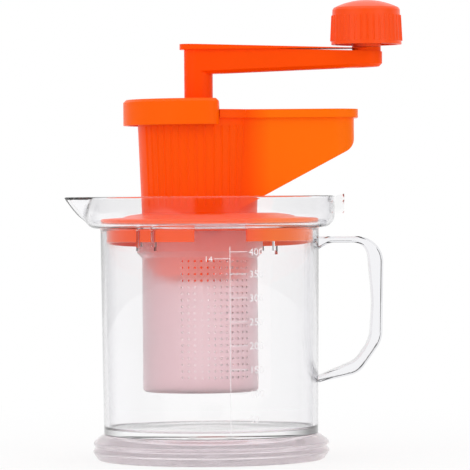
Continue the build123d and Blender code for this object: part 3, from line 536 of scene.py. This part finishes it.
# The boss that takes the foot's stud, and the ring that stands on the foot's ledge
SOCKET_BORE = 4.08
SOCKET_RADIUS = 6.6
SOCKET_BOTTOM = 5.6
BASE_RING_BORE = 38.5
BASE_RING_RADIUS = 40.18
BASE_RING_BOTTOM = 7.1
BASE_ROUNDING = 0.3
LIP_LINE = 47.57
LIP_LINE_ANGLE = math.radians(35.5)
LIP_TIP_ROUNDING = math.radians(2.2)
LIP_INNERMOST = 46.0
LIP_FOOT = 92.0
LIP_START_AZIMUTH = 150
LIP_ROOT = 46.5
LIP_REACH = 58.4
LIP_GROWTH = 12.6
LIP_CURVE = 0.6
LIP_WALL = 2.4
GUIDE_RIBS = (-131.25, -121.35, 48.75, 58.65)
GUIDE_PAIRS = (-126.3, 53.7)
RIB_HALF_ANGLE = 1.0
SHELF_HALF_ANGLE = 6.5
GUIDE_BOTTOM = 82.8
GUIDE_SHELF_TOP = 84.4
GUIDE_TOP = 91.0
GUIDE_BOTTOM_DRAFT = 0.11
GUIDE_SHELF_DRAFT = 0.09
GUIDE_TOP_DRAFT = 0.02
GUIDE_REACH = 39.4
MOUTH_WALL_SLACK = 0.25
LEVEL_SLACK = 0.1
LUG_SHELF_BOTTOM = 101.1
LUG_BOTTOM = 96.6
LUG_SHELF_HALF_WIDTH = 6.3
LUG_WEB_HALF_WIDTH = 2.2
LUG_REACH = 53.1
LUG_TOP = 104.3
LUG_ROUNDING = 0.5
LUG_CORNER_ANGLE = 1.0
RIM_WALL_SLACK = 0.7
LUG_CLEARANCE = 0.3
TRAY_WALL_LEVELS = (LUG_BOTTOM, 97.6, 98.6, 99.6, 100.4, LUG_SHELF_BOTTOM, 102.0, 102.8)


def polar(point):
    """A point's radius and its azimuth in degrees about the cup's axis."""
    return math.hypot(point.x, point.y), math.degrees(math.atan2(point.y, point.x))


def place_polar(vert, radius, azimuth):
    turn = math.radians(azimuth)
    vert.co.x, vert.co.y = radius * math.cos(turn), radius * math.sin(turn)


def raise_faces(bm, faces):
    """Extrudes faces of a wall, and gives the new vertices for their places to be set."""
    grown = bmesh.ops.extrude_face_region(bm, geom=faces)["geom"]
    bmesh.ops.delete(bm, geom=faces, context="FACES")
    return [item for item in grown if isinstance(item, bmesh.types.BMVert)]


def make_cup(material):
    outline = [
        (0, CUP_BASE_HEIGHT),
        (SOCKET_BORE, CUP_BASE_HEIGHT),
        (SOCKET_BORE, SOCKET_BOTTOM),
        (SOCKET_RADIUS, SOCKET_BOTTOM, BASE_ROUNDING),
        (SOCKET_RADIUS, CUP_BASE_HEIGHT, BASE_ROUNDING),
        (BASE_RING_BORE, CUP_BASE_HEIGHT, BASE_ROUNDING),
        (BASE_RING_BORE, BASE_RING_BOTTOM),
        (BASE_RING_RADIUS, BASE_RING_BOTTOM),
        (BASE_RING_RADIUS, CUP_BASE_HEIGHT),
        (CUP_BASE_RADIUS, CUP_BASE_HEIGHT, CUP_EDGE_ROUNDING),
        (CUP_BASE_RADIUS + CUP_SLOPE * CUP_WALL_HEIGHT, TRAY_BOTTOM, TRAY_ROOT_ROUNDING),
        (TRAY_RADIUS, TRAY_BOTTOM, TRAY_CORNER_ROUNDING),
    ]
    outline += [(TRAY_RADIUS, level) for level in TRAY_WALL_LEVELS]
    outline += [(TRAY_RADIUS, RIM, RIM_ROUNDING), (TRAY_INNER_RADIUS, RIM, RIM_ROUNDING)]
    outline += [(TRAY_INNER_RADIUS, level) for level in reversed(TRAY_WALL_LEVELS)]
    outline += [
        (TRAY_INNER_RADIUS, TRAY_PLATE_TOP, TRAY_INNER_ROUNDING),
        (MOUTH_RADIUS, TRAY_PLATE_TOP, MOUTH_ROUNDING),
        (MOUTH_RADIUS - GUIDE_TOP_DRAFT, GUIDE_TOP),
        (MOUTH_RADIUS - GUIDE_SHELF_DRAFT, GUIDE_SHELF_TOP),
        (MOUTH_RADIUS - GUIDE_BOTTOM_DRAFT, GUIDE_BOTTOM),
        (FLOOR_RADIUS, CUP_FLOOR, FLOOR_ROUNDING),
        (0, CUP_FLOOR),
    ]
    bm = spun(rounded_profile(outline), CUP_STEPS)
    bmesh.ops.recalc_face_normals(bm, faces=bm.faces)
    raise_guides(bm)
    raise_lug(bm)
    for vert in bm.verts:
        draw_lip(vert)
    return piece_from(bm, "measuring_cup_moulding", material, "cup")


def raise_guides(bm):
    """Ribs in pairs on small shelves, raised from the inside of the wall."""
    half_step = 180 / CUP_STEPS
    lowest, highest = GUIDE_BOTTOM - LEVEL_SLACK, GUIDE_TOP + LEVEL_SLACK
    for vert in bm.verts:
        radius, azimuth = polar(vert.co)
        if abs(radius - MOUTH_RADIUS) > MOUTH_WALL_SLACK or not lowest < vert.co.z < highest:
            continue
        for rib in GUIDE_RIBS:
            for side in (rib - RIB_HALF_ANGLE, rib + RIB_HALF_ANGLE):
                if angle_apart(azimuth, side) <= half_step:
                    place_polar(vert, radius, side)
    raised = []
    for face in bm.faces:
        middle = face.calc_center_median()
        radius, azimuth = polar(middle)
        if abs(radius - MOUTH_RADIUS) > MOUTH_WALL_SLACK:
            continue
        if not GUIDE_BOTTOM < middle.z < GUIDE_TOP:
            continue
        on_rib = any(angle_apart(azimuth, rib) < RIB_HALF_ANGLE for rib in GUIDE_RIBS)
        on_shelf = any(angle_apart(azimuth, pair) < SHELF_HALF_ANGLE for pair in GUIDE_PAIRS)
        if on_rib or (on_shelf and middle.z < GUIDE_SHELF_TOP):
            raised.append(face)
    for vert in raise_faces(bm, raised):
        place_polar(vert, GUIDE_REACH, polar(vert.co)[1])


def raise_lug(bm):
    """The thumb lug over the handle: a shelf on a web, raised from the outside of the rim."""
    rim_corner = RIM - RIM_ROUNDING
    raised = []
    for face in bm.faces:
        middle = face.calc_center_median()
        if abs(middle.x - TRAY_RADIUS) > RIM_WALL_SLACK or middle.z > rim_corner:
            continue
        on_shelf = abs(middle.y) < LUG_SHELF_HALF_WIDTH and middle.z > LUG_SHELF_BOTTOM
        on_web = abs(middle.y) < LUG_WEB_HALF_WIDTH and middle.z > LUG_BOTTOM
        if on_shelf or on_web:
            raised.append(face)
    for vert in raise_faces(bm, raised):
        vert.co.x = LUG_REACH
        if vert.co.z > rim_corner - LEVEL_SLACK:
            vert.co.z = LUG_TOP
    corners = []
    for edge in bm.edges:
        outside = min(vert.co.x for vert in edge.verts) > TRAY_RADIUS + LUG_CLEARANCE
        if outside and len(edge.link_faces) == 2 and edge.calc_face_angle() > LUG_CORNER_ANGLE:
            corners.append(edge)
    bmesh.ops.bevel(
        bm,
        geom=corners,
        offset=LUG_ROUNDING,
        segments=2,
        profile=0.5,
        affect="EDGES",
        material=-1,
    )


def draw_lip(vert):
    """Draws the tray's wall out into a V towards -X, the further the higher it is."""
    radius, azimuth = polar(vert.co)
    if radius < LIP_INNERMOST or vert.co.z < LIP_FOOT or abs(azimuth) < LIP_START_AZIMUTH:
        return
    aside = math.hypot(math.radians(180 - abs(azimuth)), LIP_TIP_ROUNDING)
    reach = LIP_LINE / math.cos(aside - LIP_LINE_ANGLE)
    share = (min(vert.co.z, RIM) - LIP_FOOT) / (RIM - LIP_FOOT)
    reach -= LIP_REACH - (LIP_ROOT + LIP_GROWTH * share**LIP_CURVE)
    across_wall = (TRAY_RADIUS - radius) / (TRAY_RADIUS - TRAY_INNER_RADIUS)
    reach -= LIP_WALL * min(max(across_wall, 0.0), 1.0)
    if reach > radius:
        place_polar(vert, reach, azimuth)


# Suction foot: corners of its profile, as (radius, height) or (radius, height, rounding)
FOOT_STEPS = 192
FOOT_CORNERS = (
    (0, 2.4),
    (4.0, 2.4),
    (41.9, 0.0, 0.4),
    (44.6, 0.0, 0.9),
    (46.9, 3.4, 1.1),
    (45.5, 5.1, 0.6),
    (46.9, 6.7, 1.0),
    (43.6, 9.3, 1.6),
    (42.2, 10.06, 0.2),
    (40.25, 10.06),
    (40.25, 6.9),
    (38.15, 6.9),
    (38.15, 5.4, 0.4),
    (4.0, 5.4, 0.4),
    (4.0, 9.75, 0.3),
    (0, 9.75),
)


def make_foot(material):
    bm = spun(rounded_profile(FOOT_CORNERS), FOOT_STEPS)
    return piece_from(bm, "soft_foot", material, "cup")


# Printed scale: a line up the wall with a tick and a number at each height
INK_DEPTH = 0.03
SCALE_LINE_ANGLE = math.radians(-79.3)
SCALE_LINE_MIDDLE = 48.4
SCALE_LINE_LENGTH = 72.0
SCALE_LINE_CUTS = 24
SCALE_MARKS = (
    (400, 82.3),
    (350, 73.8),
    (300, 64.6),
    (250, 55.4),
    (200, 46.2),
    (150, 37.0),
    (100, 27.8),
    (50, 17.9),
)
NUMBER_HEIGHT = 2.8
NUMBER_START = 7.6
TICK_WIDTH = 0.24
TICK_MIDDLE = NUMBER_START / 2 - 0.3
TICK_LENGTH = NUMBER_START - 1.0
TICK_CUTS = 10
# The top of the second scale, left of the line
SECOND_MARK = 79.7
SECOND_TICK_MIDDLE = -3.1
SECOND_TICK_LENGTH = 6.0
SECOND_NUMBER_START = -9.9
SECOND_NUMBER_HEIGHT = 2.3
DIGIT_SHARE_OF_FONT = 0.73
DIGIT_SPACING = 1.06
LONG_EDGE_SHARE = 0.9


def wrap_on_wall(bm):
    """Bends flat print, whose x runs along the wall from the scale's line, onto the cup."""
    for vert in bm.verts:
        along, out, height = vert.co
        radius = CUP_BASE_RADIUS + (height - CUP_BASE_HEIGHT) * CUP_SLOPE
        angle = SCALE_LINE_ANGLE + along / radius
        reach = radius + INK_DEPTH + out
        vert.co = (reach * math.cos(angle), reach * math.sin(angle), height)


def ink_bar(bm, along, height, width, tall, cuts):
    """A flat bar of ink, cut along its length so that it can bend."""
    made = bmesh.ops.create_cube(bm, size=1.0)["verts"]
    bmesh.ops.scale(bm, vec=(width, INK_DEPTH, tall), verts=made)
    bmesh.ops.translate(bm, vec=(along, 0, height), verts=made)
    longest = 0 if width > tall else 2
    least = LONG_EDGE_SHARE * max(width, tall)
    edges = [
        edge
        for edge in {edge for vert in made for edge in vert.link_edges}
        if abs(edge.verts[0].co[longest] - edge.verts[1].co[longest]) > least
    ]
    bmesh.ops.subdivide_edges(bm, edges=edges, cuts=cuts)


def add_number(bm, text, along, height, size):
    """A number whose left end is at along, centred on a height."""
    data = bpy.data.curves.new("number", "FONT")
    data.body = text
    data.size = size / DIGIT_SHARE_OF_FONT
    data.extrude = INK_DEPTH / 2
    data.align_x = "LEFT"
    data.space_character = DIGIT_SPACING
    holder = add_object("number", data)
    bpy.context.view_layer.update()
    evaluated = holder.evaluated_get(bpy.context.evaluated_depsgraph_get())
    mesh = bpy.data.meshes.new_from_object(evaluated)
    upright = Matrix.Rotation(math.pi / 2, 4, "X")
    mesh.transform(Matrix.Translation((along, 0, height - size / 2)) @ upright)
    bm.from_mesh(mesh)
    bpy.data.objects.remove(holder)
    bpy.data.curves.remove(data)
    bpy.data.meshes.remove(mesh)


def make_scale(material):
    bm = bmesh.new()
    ink_bar(bm, 0, SCALE_LINE_MIDDLE, TICK_WIDTH, SCALE_LINE_LENGTH, SCALE_LINE_CUTS)
    for amount, height in SCALE_MARKS:
        ink_bar(bm, TICK_MIDDLE, height, TICK_LENGTH, TICK_WIDTH, TICK_CUTS)
        add_number(bm, str(amount), NUMBER_START, height, NUMBER_HEIGHT)
    ink_bar(bm, SECOND_TICK_MIDDLE, SECOND_MARK, SECOND_TICK_LENGTH, TICK_WIDTH, TICK_CUTS)
    add_number(bm, "14", SECOND_NUMBER_START, SECOND_MARK, SECOND_NUMBER_HEIGHT)
    wrap_on_wall(bm)
    return piece_from(bm, "printed_scale", material, "cup")


# Floor, lamps and the room that shines back, in metres
FLOOR_SIZE = 20.0
FLOOR_DROP = 0.00005
FLOOR_GLOW = 0.78
GLOW_SPAN = (0.10, 0.35)
ROOM_LEVEL = 0.62
CEILING_SPAN = (0.55, 0.8)
CEILING = (1.3, 1.3, 1.3, 1)
WHITE = (1, 1, 1, 1)
# Grey of the panels all round, from behind the object at 0 past the camera at 0.5 to 1
PANELS = (
    (0.0, 1.0),
    (0.083, 0.95),
    (0.153, 0.25),
    (0.30, 0.14),
    (0.339, 0.14),
    (0.361, 0.42),
    (0.456, 0.42),
    (0.467, 0.02),
    (0.530, 0.02),
    (0.541, 0.42),
    (0.639, 0.42),
    (0.667, 0.14),
    (0.75, 0.18),
    (0.82, 0.65),
    (0.89, 1.0),
    (1.0, 1.0),
)
# Name, place, width, height and radiance
SOFTBOXES = (
    ("left_softbox", (-1.25, -1.0, 0.65), 1.1, 1.3, 1.45),
    ("right_softbox", (1.25, -1.0, 0.65), 1.1, 1.3, 1.3),
    ("top_softbox", (0.0, 0.15, 1.6), 1.5, 1.5, 1.2),
)
LAMP_AIM = (0.0, 0.0, 0.09)


def make_floor():
    """A matt floor that takes shadows near the object and glows white further out."""
    bm = bmesh.new()
    bmesh.ops.create_grid(bm, x_segments=1, y_segments=1, size=FLOOR_SIZE)
    bmesh.ops.translate(bm, vec=(0, 0, -FLOOR_DROP), verts=bm.verts)
    mesh = bpy.data.meshes.new("floor")
    bm.to_mesh(mesh)
    bm.free()
    floor = add_object("floor", mesh)
    material, tree = new_material("pale_floor")
    grain = object_noise(tree, scale=3.0, detail=3)
    colour = colour_between(tree, grain, (0.94, 0.94, 0.94), (0.97, 0.97, 0.97))
    length = {"operation": "LENGTH"}
    reach = add_node(tree, "ShaderNodeVectorMath", length, _0=object_place(tree)).outputs["Value"]
    share = rescaled(tree, reach, old=GLOW_SPAN, new=(FLOOR_GLOW, 1.0))
    matt = add_node(tree, "ShaderNodeBsdfDiffuse", Color=colour).outputs[0]
    path = add_node(tree, "ShaderNodeLightPath").outputs
    seen = maths(tree, "MAXIMUM", path["Is Camera Ray"], path["Is Glossy Ray"])
    seen = maths(tree, "MAXIMUM", seen, path["Is Transmission Ray"])
    share = maths(tree, "MULTIPLY", seen, share)
    glow = add_node(tree, "ShaderNodeEmission", Color=WHITE, Strength=1.0).outputs[0]
    finish_material(tree, mixed_shader(tree, share, matt, glow))
    mesh.materials.append(material)


def background(tree, colour, strength):
    return add_node(tree, "ShaderNodeBackground", Color=colour, Strength=strength).outputs[0]


def make_room():
    """White to the camera and an even grey to matt surfaces.

    Reflections and rays bent by clear plastic see panels, with a dark gap behind the camera.
    """
    world = bpy.data.worlds.new("room")
    bpy.context.scene.world = world
    tree = empty_tree(world)
    way = add_node(tree, "ShaderNodeTexCoord").outputs["Generated"]
    parts = add_node(tree, "ShaderNodeSeparateXYZ", Vector=way).outputs
    turn = maths(tree, "ARCTAN2", parts["X"], maths(tree, "MULTIPLY", parts["Y"], -1.0))
    place = rescaled(tree, turn, old=(-math.pi, math.pi), new=(0.0, 1.0))
    high = rescaled(tree, parts["Z"], old=CEILING_SPAN, new=(0.0, 1.0))
    panorama = mixed_colour(tree, high, ramp(tree, place, PANELS), CEILING)
    path = add_node(tree, "ShaderNodeLightPath").outputs
    bent = maths(tree, "MAXIMUM", path["Is Glossy Ray"], path["Is Transmission Ray"])
    level = background(tree, WHITE, ROOM_LEVEL)
    lit = mixed_shader(tree, bent, level, background(tree, panorama, 1.0))
    lit = mixed_shader(tree, path["Is Camera Ray"], lit, background(tree, WHITE, 1.0))
    output = add_node(tree, "ShaderNodeOutputWorld")
    tree.links.new(lit, output.inputs["Surface"])


def softbox(name, place, width, height, radiance):
    """A soft lamp that faces the object and isn't seen."""
    data = bpy.data.lights.new(name, "AREA")
    data.shape = "RECTANGLE"
    data.size, data.size_y = width, height
    data.energy = radiance * math.pi * width * height
    lamp = add_object(name, data)
    turn = (Vector(LAMP_AIM) - Vector(place)).to_track_quat("-Z", "Y").to_matrix().to_4x4()
    lamp.matrix_world = Matrix.Translation(place) @ turn
    lamp.visible_camera = False
    lamp.visible_glossy = False
    lamp.visible_transmission = False


set_camera()
make_floor()
make_room()
for settings in SOFTBOXES:
    softbox(*settings)

BODY_ORANGE = orange_polypropylene(
    "orange_body_moulding",
    deep=(1.0, 0.083, 0.0),
    pale=(1.0, 0.095, 0.0),
    # Painted light: the hopper's lighter orange
    hopper_light=(1.0, 0.160, 0.001),
)
# Painted shade: a darker copy of the body's orange for the crank arm, its pin and the auger.
CRANK_ORANGE_SHADED = orange_polypropylene(
    "orange_crank_painted_shade", deep=(1.0, 0.074, 0.0), pale=(1.0, 0.087, 0.0)
)
# Painted light: a lighter copy of the body's orange for the bearing cap.
CAP_ORANGE_LIT = orange_polypropylene(
    "orange_cap_painted_light", deep=(1.0, 0.110, 0.0), pale=(1.0, 0.128, 0.001)
)
# Painted shade: a darker copy of the body's orange for the knob, which sits in shade.
KNOB_ORANGE_SHADED = orange_polypropylene(
    "orange_knob_painted_shade", deep=(1.0, 0.072, 0.001), pale=(1.0, 0.088, 0.002), shine=0.4
)
# Painted shade: slant and edge are darker colours painted where the clear plastic turns away.
CLEAR = clear_plastic(
    "clear_moulding", face=(1.0, 0.998, 1.0), slant_shade=(0.975, 0.972, 0.985), edge=(0.45, 0.44, 0.48)
)
# Painted shade: a darker copy of the clear plastic for the handle.
HANDLE_CLEAR_SHADED = clear_plastic(
    "clear_handle_painted_shade", face=(0.90, 0.90, 0.92), slant_shade=(0.70, 0.70, 0.73), edge=(0.30, 0.30, 0.32)
)
VINYL = soft_vinyl("soft_vinyl")
FROSTED = frosted_polypropylene("frosted_moulding")
NYLON = satin_nylon("satin_nylon")
STEEL = drawn_steel("drawn_steel")
INK = white_ink("white_ink")

FINISHES = {
    "cup_handle": HANDLE_CLEAR_SHADED,
    "juicer_body": BODY_ORANGE,
    "bearing_cap": CAP_ORANGE_LIT,
    "crank_arm": CRANK_ORANGE_SHADED,
    "crank_knob": KNOB_ORANGE_SHADED,
    "knob_pin": CRANK_ORANGE_SHADED,
    "auger": CRANK_ORANGE_SHADED,
    "drive_shaft": STEEL,
    "post_clip": STEEL,
    "thrust_washer": NYLON,
    "grinding_cone": NYLON,
    "grinding_ring": NYLON,
    "shaft_bush": NYLON,
}
for node_name, finish in FINISHES.items():
    for material_slot in NODES[node_name].material_slots:
        material_slot.material = finish

strainer = make_strainer(FROSTED)
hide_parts("filter_cup")
cup = make_cup(CLEAR)
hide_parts("measuring_cup")
foot = make_foot(VINYL)
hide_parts("suction_foot")
make_scale(INK)

bpy.context.scene.view_settings.view_transform = "Standard"
